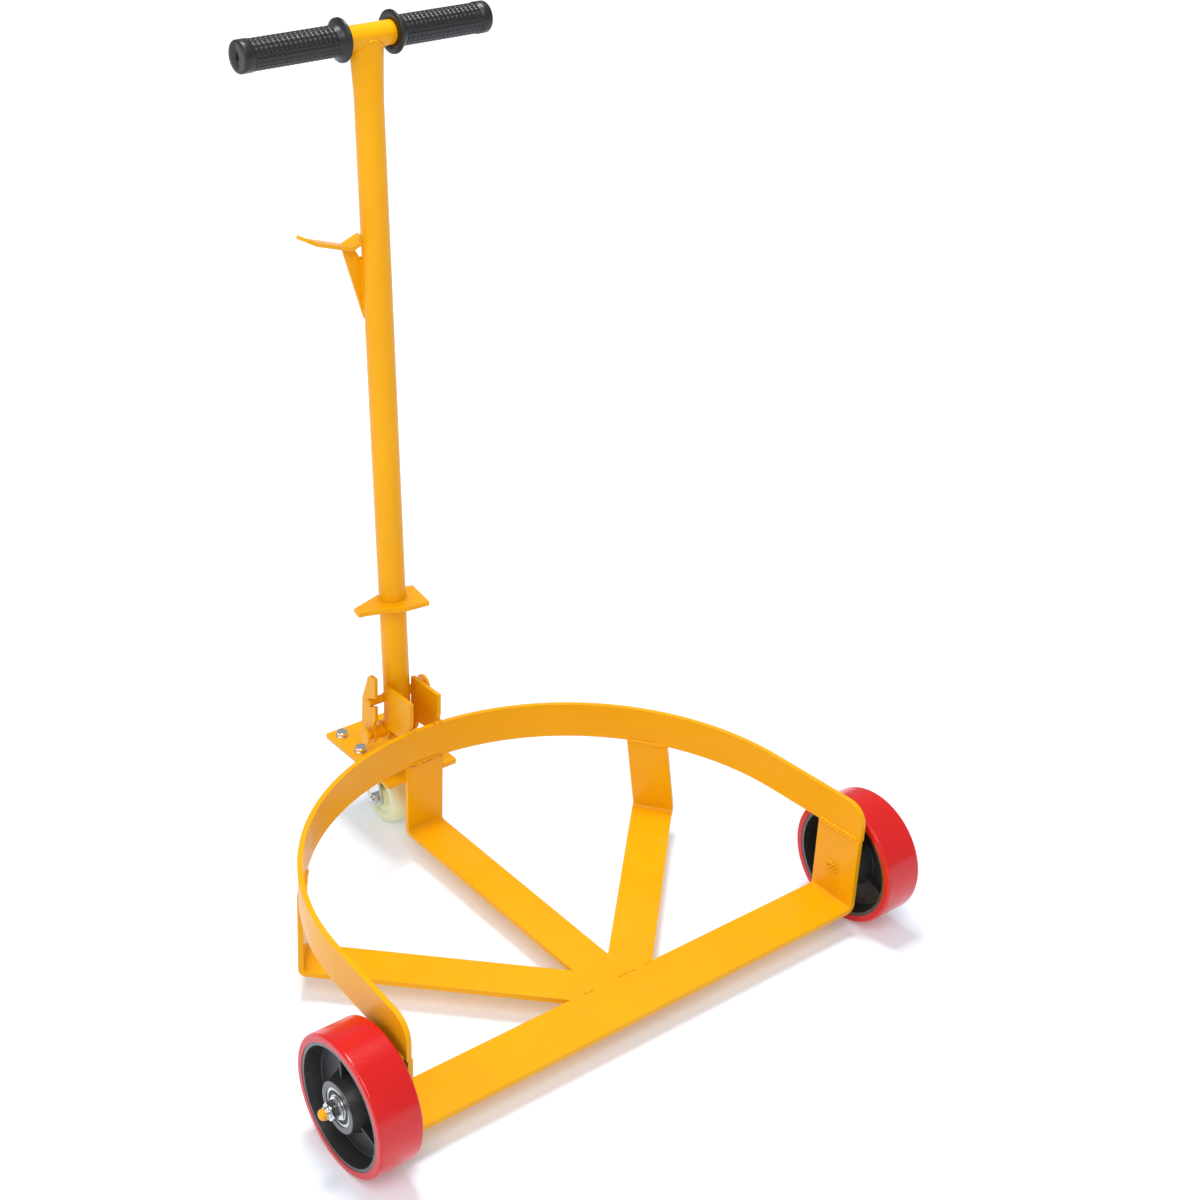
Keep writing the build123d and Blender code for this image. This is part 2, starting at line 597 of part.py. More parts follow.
def caster_bolt_washers():
    washers = []
    for x, y in caster_bolt_places():
        disc = z_cylinder(2 * CASTER_BOLT_RADIUS, DECK_TOP, DECK_TOP + WASHER_THICKNESS, x, y)
        hole = z_cylinder(CASTER_BOLT_RADIUS, DECK_TOP, DECK_TOP + WASHER_THICKNESS, x, y)
        washers.append(first_solid(disc - hole))
    return washers


def caster_bolt_nuts():
    nuts = []
    top = DECK_BOTTOM - CASTER_PLATE
    for x, y in caster_bolt_places():
        nut = z_hex(CASTER_BOLT_FLATS, top - BOLT_NUT_HEIGHT, top, x, y)
        nuts.append(first_solid(nut - z_cylinder(CASTER_BOLT_RADIUS, top - 7, top + 1, x, y)))
    return nuts


# ---- handle (drawn with the pivot at the origin and the pole along Z) ---------------------------------------
def on_t_bar(shape):
    """Moves a shape drawn round the X axis onto the T-bar."""
    return handle(Pos(0, 0, T_BAR_HEIGHT) * Rot(0, T_BAR_TILT, T_BAR_TURN) * shape)


def handle_pole():
    """Round tube, pressed oval at the top where it is coped and welded to the T-bar."""
    squash_start = T_BAR_HEIGHT - 62
    squash_end = T_BAR_HEIGHT - 20

    def stick(shrink):
        radius = POLE_RADIUS - shrink
        oval = Ellipse(NECK_HALF_WIDTH - shrink, NECK_HALF_DEPTH - shrink)
        straight = Pos(0, 0, -POLE_RADIUS) * extrude(Circle(radius), squash_start + POLE_RADIUS)
        neck = loft([Pos(0, 0, squash_start) * Circle(radius), Pos(0, 0, squash_end) * oval])
        top = Pos(0, 0, squash_end) * extrude(oval, T_BAR_HEIGHT - squash_end)
        return straight + neck + top

    pole = stick(0) - stick(POLE_WALL)
    for height in (0, STOP_PIN_HEIGHT):
        pole -= x_cylinder(PIN_RADIUS, -2 * POLE_RADIUS, 2 * POLE_RADIUS, 0, height)
    pole = handle(pole) - on_t_bar(x_cylinder(T_BAR_RADIUS, -40, 40, 0, 0))
    return largest_solid(pole)


def t_bar():
    half = T_BAR_LENGTH / 2
    return on_t_bar(first_solid(x_tube(T_BAR_RADIUS, T_BAR_RADIUS - POLE_WALL, -half, half, 0, 0)))


def grip(side):
    """Slip-on grip: flange at the inner end, closed outer end with a small vent hole."""
    flange_end = GRIP_START + 4.0
    vent_radius = 2.5
    outline = closed_face([
        (T_BAR_RADIUS, GRIP_START), (GRIP_FLANGE_RADIUS, GRIP_START), (GRIP_FLANGE_RADIUS, flange_end),
        (GRIP_RADIUS + 1.5, flange_end + 5), (GRIP_RADIUS, flange_end + 9), (GRIP_RADIUS, GRIP_END),
        (vent_radius, GRIP_END), (vent_radius, T_BAR_LENGTH / 2), (T_BAR_RADIUS, T_BAR_LENGTH / 2)])
    flange_rim = [v for v in outline.vertices() if v.X > GRIP_FLANGE_RADIUS - 0.1]
    end_rim = [v for v in outline.vertices() if v.X > GRIP_RADIUS - 0.1 and v.Y > GRIP_END - 0.1]
    outline = fillet(flange_rim + end_rim, 1.5)
    body = revolve(Plane.XZ * outline, axis=Axis.Z)
    plane = Plane(origin=(0, 0, 0), x_dir=(0, 1, 0), z_dir=(side, 0, 0))
    return on_t_bar(first_solid(plane * body))


def hook_strip():
    """The bent strip of the drum hook, in the handle's own frame, before it is cut round the pole."""
    low = HOOK_HEIGHT
    bends = [(-8.0, low + 8.5), (-29.6, low), (-73.6, low + 13), (-83.7, low + 18.5)]
    strip = trace(FilletPolyline(*bends, radius=5.0), HOOK_THICKNESS)
    plane = Plane(origin=(0, HOOK_WIDTH, 0), x_dir=(1, 0, 0), z_dir=(0, -1, 0))
    return plane * extrude(strip, HOOK_WIDTH)


def drum_hook():
    """Strip welded to the back left of the pole, bent down and then up to a raised tip, to catch a drum's rim."""
    inside_pole = z_cylinder(POLE_RADIUS, HOOK_HEIGHT - 40, HOOK_HEIGHT + 60, 0, 0)
    return handle(largest_solid(hook_strip() - inside_pole))


def hook_brace():
    """Triangular gusset from under the hook's bend down to the pole, with its inner corner cut away."""
    low = HOOK_HEIGHT
    face = closed_face([
        (-37, low + 1), (-24, low + 1), (-15, low - 13), (0, low - 13), (0, low - BRACE_LENGTH),
        (-13, low - BRACE_LENGTH)])
    plane = Plane(origin=(0, BRACE_BACK, 0), x_dir=(1, 0, 0), z_dir=(0, -1, 0))
    gusset = plane * extrude(face, BRACE_THICKNESS)
    inside_pole = z_cylinder(POLE_RADIUS, low - 2 * BRACE_LENGTH, low + 60, 0, 0)
    return handle(largest_solid(gusset - inside_pole - hook_strip()))


def wrench_plate():
    """Lid and bung wrench: a flat plate square to the pole, with a narrow jaw and a wide one."""
    outline = closed_face([
        (-51, 4), (-54, -12), (-46, -13), (-24, -21), (-10, -30), (0, -32), (29, -35), (39, 15), (32, 17),
        (-8, 19), (-30, 11)])
    outline = fillet(outline.vertices(), 1.2)
    plate = Pos(0, 0, WRENCH_HEIGHT - WRENCH_THICKNESS) * extrude(outline, WRENCH_THICKNESS)
    plate -= z_cylinder(POLE_RADIUS, 0, 2 * WRENCH_HEIGHT, 0, 0)
    return handle(first_solid(plate))


def pivot_pin():
    """Welded through the foot of the pole and turning in both lugs, with a disc head at its left end."""
    head_x = PIVOT_PIN_LEFT + PIN_HEAD
    shank = x_cylinder(PIN_RADIUS, head_x, LUG_OUTER + 4, 0, 0)
    shank = chamfer(shank.edges().group_by(Axis.X)[-1], 1.2)
    head = x_cylinder(PIN_HEAD_RADIUS, PIVOT_PIN_LEFT, head_x, 0, 0)
    head = fillet(head.edges().group_by(Axis.X)[0], 1.2)
    return handle(first_solid(shank + head))


def pivot_collar():
    """Collar on the pivot pin that keeps the side plate off the left lug."""
    left = SIDE_PLATE_X + SIDE_PLATE_THICKNESS / 2
    return handle(first_solid(x_tube(PIVOT_COLLAR_RADIUS, PIN_RADIUS, left, -LUG_OUTER - 0.3, 0, 0)))


def stop_pin():
    """Pin across the pole with a disc head at its right end, resting on both lugs when the pole is upright."""
    head_x = STOP_PIN_RIGHT - PIN_HEAD
    shank = x_cylinder(PIN_RADIUS, STOP_PIN_LEFT, head_x, 0, STOP_PIN_HEIGHT)
    shank = chamfer(shank.edges().group_by(Axis.X)[0], 1.2)
    head = x_cylinder(STOP_HEAD_RADIUS, head_x, STOP_PIN_RIGHT, 0, STOP_PIN_HEIGHT)
    head = fillet(head.edges().group_by(Axis.X)[-1], 1.2)
    return handle(first_solid(shank + head))


def side_plate():
    """Tall plate on the pivot pin, with a slot that runs up to its front edge from the stop pin."""
    front = PIVOT_Y - 11.0
    top = PIVOT_Z + 82.0
    foot = Pos(PIVOT_Y + 2, PIVOT_Z) * Circle(LUG_EYE_RADIUS)
    outline = closed_face([
        (front, top), (PIVOT_Y, top), (PIVOT_Y + 5, top - 4), (PIVOT_Y + 7, top - 12),
        (PIVOT_Y + 17, PIVOT_Z + 45), (PIVOT_Y + 18, PIVOT_Z + 26), (PIVOT_Y + 19, PIVOT_Z + 8),
        (PIVOT_Y + 12, PIVOT_Z - 6), (PIVOT_Y - 8, PIVOT_Z), (PIVOT_Y - 7, PIVOT_Z + 18), (front, PIVOT_Z + 24)])
    outline = outline + foot - Pos(PIVOT_Y, PIVOT_Z) * Circle(PIN_RADIUS)
    lean = math.radians(HANDLE_LEAN)
    pin_y = PIVOT_Y + STOP_PIN_HEIGHT * math.sin(lean)
    pin_z = PIVOT_Z + STOP_PIN_HEIGHT * math.cos(lean)
    slot = Pos(15, 0) * Rectangle(30, 2 * PIN_RADIUS) + Circle(PIN_RADIUS)
    slot = Pos(pin_y, pin_z) * Rot(0, 0, 180 - SIDE_PLATE_SLOT_RISE) * slot
    return first_solid(yz_plate(outline - slot, SIDE_PLATE_X, SIDE_PLATE_THICKNESS))


# ---- assembly -----------------------------------------------------------------------------------------------
def both_sides(solids):
    """The given solids and their mirror images."""
    return solids + [mirror_x(solid) for solid in solids]


def nodes():
    parts = {
        "ring_band": ring_band(),
        "crossbar": crossbar(),
        "spoke_middle": spoke_middle(),
        "spoke_right": spoke_right(),
        "spoke_left": mirror_x(spoke_right()),
        "caster_deck": caster_deck(),
        "hinge_lug_left": hinge_lug(-1),
        "hinge_lug_right": hinge_lug(1),
        "axle_washers": both_sides([axle_washer()]),
        "axle_nuts": both_sides([axle_nut()]),
        "caster_top_plate": caster_top_plate(),
        "caster_kingpin": caster_kingpin(),
        "caster_swivel_balls": caster_swivel_balls(),
        "caster_fork": caster_fork(),
        "caster_axle_bolt": caster_axle_bolt(),
        "caster_axle_nut": caster_axle_nut(),
        "caster_axle_sleeve": caster_axle_sleeve(),
        "caster_wheel": caster_wheel(),
        "caster_bolts": caster_bolts(),
        "caster_bolt_washers": caster_bolt_washers(),
        "caster_bolt_nuts": caster_bolt_nuts(),
        "handle_pole": handle_pole(),
        "t_bar": t_bar(),
        "grip_right": grip(1),
        "grip_left": grip(-1),
        "drum_hook": drum_hook(),
        "hook_brace": hook_brace(),
        "wrench_plate": wrench_plate(),
        "pivot_pin": pivot_pin(),
        "pivot_collar": pivot_collar(),
        "stop_pin": stop_pin(),
        "side_plate": side_plate(),
    }
    wheel_parts = {
        "axle_stud": [axle_stud()],
        "axle_spacers": axle_spacers(),
        "bearing_inner_rings": bearing_rings(INNER_RING_RADIUS, BEARING_BORE_RADIUS),
        "bearing_outer_rings": bearing_rings(BEARING_OUTER_RADIUS, OUTER_RING_BORE_RADIUS),
        "bearing_balls": bearing_balls(),
        "bearing_seals": bearing_seals(),
        "wheel_hub": [wheel_hub()],
        "wheel_tyre": [wheel_tyre()],
    }
    for name, solids in wheel_parts.items():
        parts[name + "_right"] = solids
        parts[name + "_left"] = [mirror_x(solid) for solid in solids]
    return parts


footprint_middle = (AXLE_Y - WHEEL_RADIUS + DECK_BACK) / 2
os.makedirs("parts", exist_ok=True)
for name, shape in nodes().items():
    solids = shape if isinstance(shape, list) else [shape]
    moved = [Pos(0, -footprint_middle, 0) * solid for solid in solids]
    export_step(moved[0] if len(moved) == 1 else Compound(children=moved), f"parts/{name}.step")
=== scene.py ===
import json
import math
import random

import bpy
from mathutils import Matrix, Vector


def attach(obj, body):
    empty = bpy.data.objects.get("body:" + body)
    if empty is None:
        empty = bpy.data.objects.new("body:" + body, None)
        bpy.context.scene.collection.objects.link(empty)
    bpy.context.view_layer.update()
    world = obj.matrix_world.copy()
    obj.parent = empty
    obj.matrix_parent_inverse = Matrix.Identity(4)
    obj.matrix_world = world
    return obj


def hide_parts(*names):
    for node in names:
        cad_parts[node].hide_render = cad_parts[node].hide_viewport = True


# Low-profile drum caddy. Metres, +Z up. Places are worked out from the centre of the drum ring,
# then moved by RING_CENTRE, because the CAD's origin is on the floor under the middle of the whole caddy.

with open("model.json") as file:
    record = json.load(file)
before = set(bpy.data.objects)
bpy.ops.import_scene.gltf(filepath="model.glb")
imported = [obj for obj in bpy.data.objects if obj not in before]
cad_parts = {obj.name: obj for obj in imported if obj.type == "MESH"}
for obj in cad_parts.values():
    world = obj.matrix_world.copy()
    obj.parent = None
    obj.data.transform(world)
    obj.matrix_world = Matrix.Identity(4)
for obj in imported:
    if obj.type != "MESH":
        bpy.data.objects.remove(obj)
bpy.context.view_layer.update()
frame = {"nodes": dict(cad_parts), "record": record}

# ---- dimensions shared with the CAD part ----
RING_CENTRE = Vector((0.0, -0.1404, 0.0))
PLATE = 0.006
RING_RADIUS = 0.3045             # middle of the ring's bar
RING_BOTTOM = 0.129
RING_TOP = 0.174
CROSSBAR_TOP = 0.035
CROSSBAR_FRONT = -0.125
CROSSBAR_BACK = -0.060
TAIL_FLARE = math.radians(3.0)
SPOKE_HALF = 0.025
SPOKE_ORIGIN_Y = -0.083
DECK_TOP = 0.109

AXLE = Vector((0.3465, -0.090, 0.0762))
STUD_THREAD_START = 0.3828       # outer face of the axle nut
STUD_PAINT_START = 0.3868        # the stud's tip is painted, the thread behind it is bare
STUD_RADIUS = 0.006

PIVOT = Vector((0.0, 0.360, 0.150))
HANDLE_LEAN = math.radians(3.65)
POLE_RADIUS = 0.016
T_BAR_HEIGHT = 0.8165
T_BAR_RADIUS = 0.013
GRIP_START = 0.031
GRIP_END = 0.156
GRIP_RADIUS = 0.0163
GRIP_FLANGE_RADIUS = 0.023
WRENCH_HEIGHT = 0.170
HOOK_HEIGHT = 0.5948             # lowest bend of the drum hook
HOOK_ROOT_RISE = 0.39            # slope of the hook's strip where it meets the pole
HOOK_ROOT_X = -0.0296
BRACE_FRONT = 0.009              # front face of the gusset, from the pole's axis
BRACE_LENGTH = 0.082
T_BAR_TURN = math.radians(2.6)
T_BAR_TILT = math.radians(-1.2)
T_BAR_LENGTH = 0.300
LUG_INNER = 0.017
LUG_THICKNESS = 0.005
STOP_PIN_HEIGHT = 0.043

CASTER_AXLE = Vector((0.0, 0.382, 0.0375))

# ---- camera ----
CAMERA_PLACE = Vector((-1.1276, -1.3414, 1.4379))    # from the ring's centre
CAMERA_AZIMUTH = -40.22          # degrees; 0 looks along +Y
CAMERA_ELEVATION = 28.54
CAMERA_ROLL = 2.83
CAMERA_LENS = 59.10


# ---- node material helpers ----
class Shader:
    """A principled material with short names for its nodes. Scales are in features per metre."""

    def __init__(self, name):
        self.material = bpy.data.materials.new(name)
        self.material.use_nodes = True
        self.tree = self.material.node_tree
        self.bsdf = self.tree.nodes["Principled BSDF"]
        shift = self.tree.nodes.new("ShaderNodeVectorMath")
        shift.operation = "SUBTRACT"
        shift.inputs[1].default_value = RING_CENTRE
        self.tree.links.new(self.tree.nodes.new("ShaderNodeTexCoord").outputs["Object"], shift.inputs[0])
        self.place = shift.outputs["Vector"]

    def node(self, kind, **settings):
        made = self.tree.nodes.new(kind)
        for key, value in settings.items():
            setattr(made, key, value)
        return made

    def feed(self, socket, value):
        if isinstance(value, bpy.types.NodeSocket):
            self.tree.links.new(value, socket)
        elif isinstance(value, tuple) and len(value) == 3 and socket.type == "RGBA":
            socket.default_value = (*value, 1.0)
        else:
            socket.default_value = value

    def set(self, **inputs):
        for key, value in inputs.items():
            self.feed(self.bsdf.inputs[key.replace("_", " ")], value)

    def noise(self, scale, detail=2.0, roughness=0.5, stretch=(1, 1, 1), offset=0.0):
        mapping = self.node("ShaderNodeMapping")
        self.feed(mapping.inputs["Vector"], self.place)
        mapping.inputs["Scale"].default_value = stretch
        mapping.inputs["Location"].default_value = (offset, offset * 1.7, offset * 0.6)
        made = self.node("ShaderNodeTexNoise")
        self.feed(made.inputs["Vector"], mapping.outputs["Vector"])
        self.feed(made.inputs["Scale"], scale)
        self.feed(made.inputs["Detail"], detail)
        self.feed(made.inputs["Roughness"], roughness)
        return made.outputs["Fac"]

    def ramp(self, value, low, high, start=0.0, end=1.0):
        """Maps value from low..high to start..end, and stays flat outside."""
        made = self.node("ShaderNodeMapRange")
        made.clamp = True
        self.feed(made.inputs["Value"], value)
        self.feed(made.inputs["From Min"], low)
        self.feed(made.inputs["From Max"], high)
        self.feed(made.inputs["To Min"], start)
        self.feed(made.inputs["To Max"], end)
        return made.outputs["Result"]

    def blend(self, share, first, second):
        made = self.node("ShaderNodeMix", data_type="RGBA")
        self.feed(made.inputs["Factor"], share)
        self.feed(made.inputs["A"], first)
        self.feed(made.inputs["B"], second)
        return made.outputs["Result"]

    def maths(self, operation, first, second):
        made = self.node("ShaderNodeMath", operation=operation)
        self.feed(made.inputs[0], first)
        self.feed(made.inputs[1], second)
        return made.outputs["Value"]

    def axis(self, name):
        made = self.node("ShaderNodeSeparateXYZ")
        self.feed(made.inputs["Vector"], self.place)
        return made.outputs[name]

    def radius_from_axle(self, y, z):
        """Distance from an axle that runs along X through (y, z)."""
        across = self.maths("SUBTRACT", self.axis("Y"), y)
        up = self.maths("SUBTRACT", self.axis("Z"), z)
        squares = self.maths("ADD", self.maths("MULTIPLY", across, across), self.maths("MULTIPLY", up, up))
        return self.maths("SQRT", squares, 0.0)

    def relief(self, *layers, edge=0.0):
        """Bump layers, each (height, depth in metres), over edges rounded by edge metres."""
        normal = None
        if edge > 0.0:
            made = self.node("ShaderNodeBevel", samples=4)
            self.feed(made.inputs["Radius"], edge)
            normal = made.outputs["Normal"]
        for height, depth in layers:
            made = self.node("ShaderNodeBump")
            self.feed(made.inputs["Height"], height)
            self.feed(made.inputs["Distance"], depth)
            self.feed(made.inputs["Strength"], 1.0)
            if normal is not None:
                self.feed(made.inputs["Normal"], normal)
            normal = made.outputs["Normal"]
        self.feed(self.bsdf.inputs["Normal"], normal)


def powder_coat(name, colour, shade, edge=0.0008):
    """Sprayed and baked powder: orange peel, soft gloss, scuffs and specks.

    Dust lies low down, and painted shade darkens the seam over the middle spoke.
    """
    coat = Shader(name)
    cloud = coat.noise(9.0, 3.0)
    base = coat.blend(coat.ramp(cloud, 0.3, 0.7), colour, shade)
    dust = coat.ramp(coat.axis("Z"), 0.0, 0.09, 0.07, 0.0)
    dust = coat.maths("MULTIPLY", dust, coat.ramp(coat.noise(60.0, 4.0), 0.4, 0.7))
    base = coat.blend(dust, base, (0.40, 0.28, 0.12))
    speck = coat.ramp(coat.noise(240.0, 5.0, 0.7), 0.70, 0.76)
    base = coat.blend(coat.maths("MULTIPLY", speck, 0.35), base, (0.42, 0.17, 0.010))
    # Painted shade: a dark broken line along the seam where the middle riser meets the ring's bottom edge,
    # standing in for the shadow in the joint.
    off_seam = coat.maths("ABSOLUTE", coat.maths("SUBTRACT", coat.axis("Z"), RING_BOTTOM), 0.0)
    off_middle = coat.maths("ABSOLUTE", coat.axis("X"), 0.0)
    painted_seam_shade = coat.maths("MULTIPLY", coat.ramp(off_seam, 0.0011, 0.0004), coat.ramp(off_middle, 0.027, 0.025))
    painted_seam_shade = coat.maths("MULTIPLY", painted_seam_shade, coat.ramp(coat.noise(130.0, 3.0), 0.42, 0.50))
    painted_seam_shade = coat.maths("MULTIPLY", painted_seam_shade, coat.ramp(coat.axis("Y"), 0.28, 0.29))
    base = coat.blend(coat.maths("MULTIPLY", painted_seam_shade, 0.8), base, (0.10, 0.035, 0.006))
    scuff = coat.ramp(coat.noise(55.0, 6.0, 0.7, (1.0, 0.25, 0.6)), 0.62, 0.72)
    gloss = coat.ramp(coat.noise(30.0, 3.0), 0.3, 0.7, 0.26, 0.36)
    coat.set(Base_Color=base, Roughness=coat.maths("ADD", gloss, coat.maths("MULTIPLY", scuff, 0.12)))
    coat.set(Specular_IOR_Level=0.20)
    coat.relief((coat.noise(420.0, 2.0), 0.00010), (coat.noise(1500.0, 1.0), 0.00002), edge=edge)
    return coat.material


def cast_polyurethane(name):
    """Glossy cast tread with a faint flow cloud, fine moulding texture and light rolling marks."""
    tread = Shader(name)
    cloud = tread.noise(14.0, 2.0)
    base = tread.blend(tread.ramp(cloud, 0.3, 0.7), (0.70, 0.008, 0.007), (0.62, 0.006, 0.006))
    marks = tread.ramp(tread.noise(140.0, 5.0, 0.7, (0.25, 1.0, 1.0)), 0.60, 0.75)
    gloss = tread.ramp(tread.noise(40.0, 2.0), 0.3, 0.7, 0.16, 0.22)
    base = tread.blend(tread.maths("MULTIPLY", marks, 0.10), base, (0.40, 0.06, 0.05))
    tread.set(Base_Color=base, Roughness=tread.maths("ADD", gloss, tread.maths("MULTIPLY", marks, 0.12)))
    tread.set(Specular_IOR_Level=0.5)
    tread.relief((tread.noise(90.0, 2.0), 0.00012), (tread.noise(900.0, 1.0), 0.00001), edge=0.0012)
    return tread.material


def black_casting(name):
    """Black enamel over sand-cast iron, with the rim's edge and the boss's end turned bright."""
    iron = Shader(name)
    grain = iron.noise(900.0, 3.0, 0.6)
    lumps = iron.noise(160.0, 2.0)
    radius = iron.radius_from_axle(AXLE.y, AXLE.z)
    black = iron.blend(iron.ramp(grain, 0.35, 0.7), (0.012, 0.012, 0.013), (0.035, 0.034, 0.033))
    bright = iron.blend(iron.noise(300.0, 2.0), (0.09, 0.09, 0.09), (0.20, 0.20, 0.195))
    off_plane = iron.maths("ABSOLUTE", iron.axis("X"), 0.0)
    off_middle = iron.maths("ABSOLUTE", iron.maths("SUBTRACT", off_plane, AXLE.x), 0.0)
    rim = iron.maths("MULTIPLY", iron.ramp(radius, 0.0634, 0.0638), iron.ramp(off_middle, 0.0241, 0.0243))
    boss = iron.maths("MULTIPLY", iron.ramp(radius, 0.0279, 0.0275), iron.ramp(off_middle, 0.0251, 0.0253))
    turned = iron.maths("MAXIMUM", rim, boss)
    rough = iron.blend(turned, (0.42, 0.42, 0.42), (0.30, 0.30, 0.30))
    iron.set(Base_Color=iron.blend(turned, black, bright), Metallic=turned, Roughness=rough)
    iron.relief((lumps, 0.0004), (grain, 0.00015), edge=0.0008)
    return iron.material


def ground_steel(name, tint, rough_low, rough_high, axle=None):
    """Bright steel with fine turning rings round an axle, or a plain plated grain."""
    steel = Shader(name)
    fine = steel.noise(700.0, 3.0, 0.6)
    if axle is None:
        lines = steel.noise(260.0, 2.0)
    else:
        wave = steel.maths("MULTIPLY", steel.radius_from_axle(axle.y, axle.z), 9000.0)
        lines = steel.ramp(steel.maths("SINE", wave, 0.0), -1.0, 1.0)
    stain = steel.ramp(steel.noise(45.0, 4.0), 0.45, 0.75)
    dull = tuple(0.72 * channel for channel in tint)
    base = steel.blend(steel.maths("MULTIPLY", stain, 0.5), tint, dull)
    uneven = steel.maths("ADD", fine, steel.maths("MULTIPLY", stain, 0.4))
    rough = steel.ramp(uneven, 0.3, 1.1, rough_low, rough_high)
    steel.set(Base_Color=base, Metallic=1.0, Roughness=rough)
    steel.relief((lines, 0.000012), (fine, 0.00002), edge=0.0005)
    return steel.material


def moulded_rubber(name, colour, shade, rough_low, rough_high):
    """Moulded black rubber: fine grain, greyish rub marks."""
    rubber = Shader(name)
    rub = rubber.ramp(rubber.noise(90.0, 5.0, 0.7), 0.5, 0.8)
    base = rubber.blend(rub, colour, shade)
    rough = rubber.ramp(rubber.noise(400.0, 3.0), 0.3, 0.7, rough_low, rough_high)
    rubber.set(Base_Color=base, Roughness=rough, Specular_IOR_Level=0.5)
    rubber.relief((rubber.noise(1800.0, 2.0), 0.00003), edge=0.0004)
    return rubber.material


def cast_nylon(name):
    """Natural nylon: waxy, slightly see-through, with turning rings and light floor grime on the tread."""
    nylon = Shader(name)
    cloud = nylon.noise(60.0, 3.0)
    base = nylon.blend(nylon.ramp(cloud, 0.3, 0.7), (0.84, 0.86, 0.56), (0.79, 0.81, 0.50))
    radius = nylon.radius_from_axle(CASTER_AXLE.y, CASTER_AXLE.z)
    tread = nylon.ramp(radius, 0.0345, 0.0370)
    grime = nylon.maths("MULTIPLY", tread, nylon.ramp(nylon.noise(220.0, 5.0, 0.7), 0.5, 0.75, 0.0, 0.25))
    base = nylon.blend(grime, base, (0.40, 0.36, 0.27))
    rings = nylon.ramp(nylon.maths("SINE", nylon.maths("MULTIPLY", radius, 5000.0), 0.0), -1.0, 1.0)
    nylon.set(Base_Color=base, Roughness=nylon.ramp(cloud, 0.3, 0.7, 0.32, 0.44))
    nylon.set(Subsurface_Weight=0.15, Subsurface_Scale=0.003)
    nylon.relief((rings, 0.00002), (nylon.noise(500.0, 2.0), 0.00003), edge=0.0008)
    return nylon.material


YELLOW = ((0.92, 0.420, 0.001), (0.87, 0.385, 0.001))

MATERIALS = {
    "yellow_paint": powder_coat("yellow_paint", *YELLOW),
    "red_polyurethane": cast_polyurethane("red_polyurethane"),
    "black_cast_iron": black_casting("black_cast_iron"),
    "bearing_steel": ground_steel("bearing_steel", (0.62, 0.62, 0.61), 0.20, 0.34, AXLE),
    "seal_rubber": moulded_rubber("seal_rubber", (0.015, 0.015, 0.016), (0.05, 0.05, 0.05), 0.45, 0.6),
    "zinc_steel": ground_steel("zinc_steel", (0.74, 0.745, 0.76), 0.12, 0.28),
    "black_grip": moulded_rubber("black_grip", (0.008, 0.008, 0.0085), (0.020, 0.020, 0.021), 0.30, 0.46),
    "cream_nylon": cast_nylon("cream_nylon"),
}

for subpart in frame["record"]["subparts"]:
    cad_object = frame["nodes"][subpart["node"]]
    cad_object.data.materials.clear()
    cad_object.data.materials.append(MATERIALS[subpart["material_slot"]])


# ---- mesh helpers ----
def piece(name, vertices, faces, slot, body):
    """A smooth mesh in the row frame that rides on a CAD body."""
    mesh = bpy.data.meshes.new(name)
    mesh.from_pydata([tuple(v + RING_CENTRE) for v in vertices], [], faces)
    mesh.validate()
    mesh.polygons.foreach_set("use_smooth", [True] * len(mesh.polygons))
    mesh.materials.append(MATERIALS[slot])
    made = bpy.data.objects.new(name, mesh)
    bpy.context.scene.collection.objects.link(made)
    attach(made, body)
    return made


class Soup:
    """Vertices and faces gathered from several closed skins."""

    def __init__(self):
        self.vertices = []
        self.faces = []

    def skin(self, rings):
        """Joins rings of points into a closed skin, with a flat cap at each end."""
        start = len(self.vertices)
        around = len(rings[0])
        for ring in rings:
            self.vertices.extend(ring)
        for row in range(len(rings) - 1):
            for column in range(around):
                a = start + row * around + column
                b = start + row * around + (column + 1) % around
                self.faces.append((a, b, b + around, a + around))
        last = start + (len(rings) - 1) * around
        self.faces.append(tuple(range(start + around - 1, start - 1, -1)))
        self.faces.append(tuple(range(last, last + around)))


def on_handle(x, y, z):
    """A point given in the upright handle's own frame, in the row frame."""
    lean_y = y * math.cos(HANDLE_LEAN) + z * math.sin(HANDLE_LEAN)
    lean_z = z * math.cos(HANDLE_LEAN) - y * math.sin(HANDLE_LEAN)
    return PIVOT + Vector((x, lean_y, lean_z))


def resampled(points, step):
    """Points every step along a polyline."""
    result = [points[0].copy()]
    for a, b in zip(points[:-1], points[1:]):
        count = max(1, round((b - a).length / step))
        result.extend(a.lerp(b, i / count) for i in range(1, count + 1))
    return result


BEAD_STEP = 0.0007
BEAD_FLATNESS = 0.75
BEAD_SIDES = 10


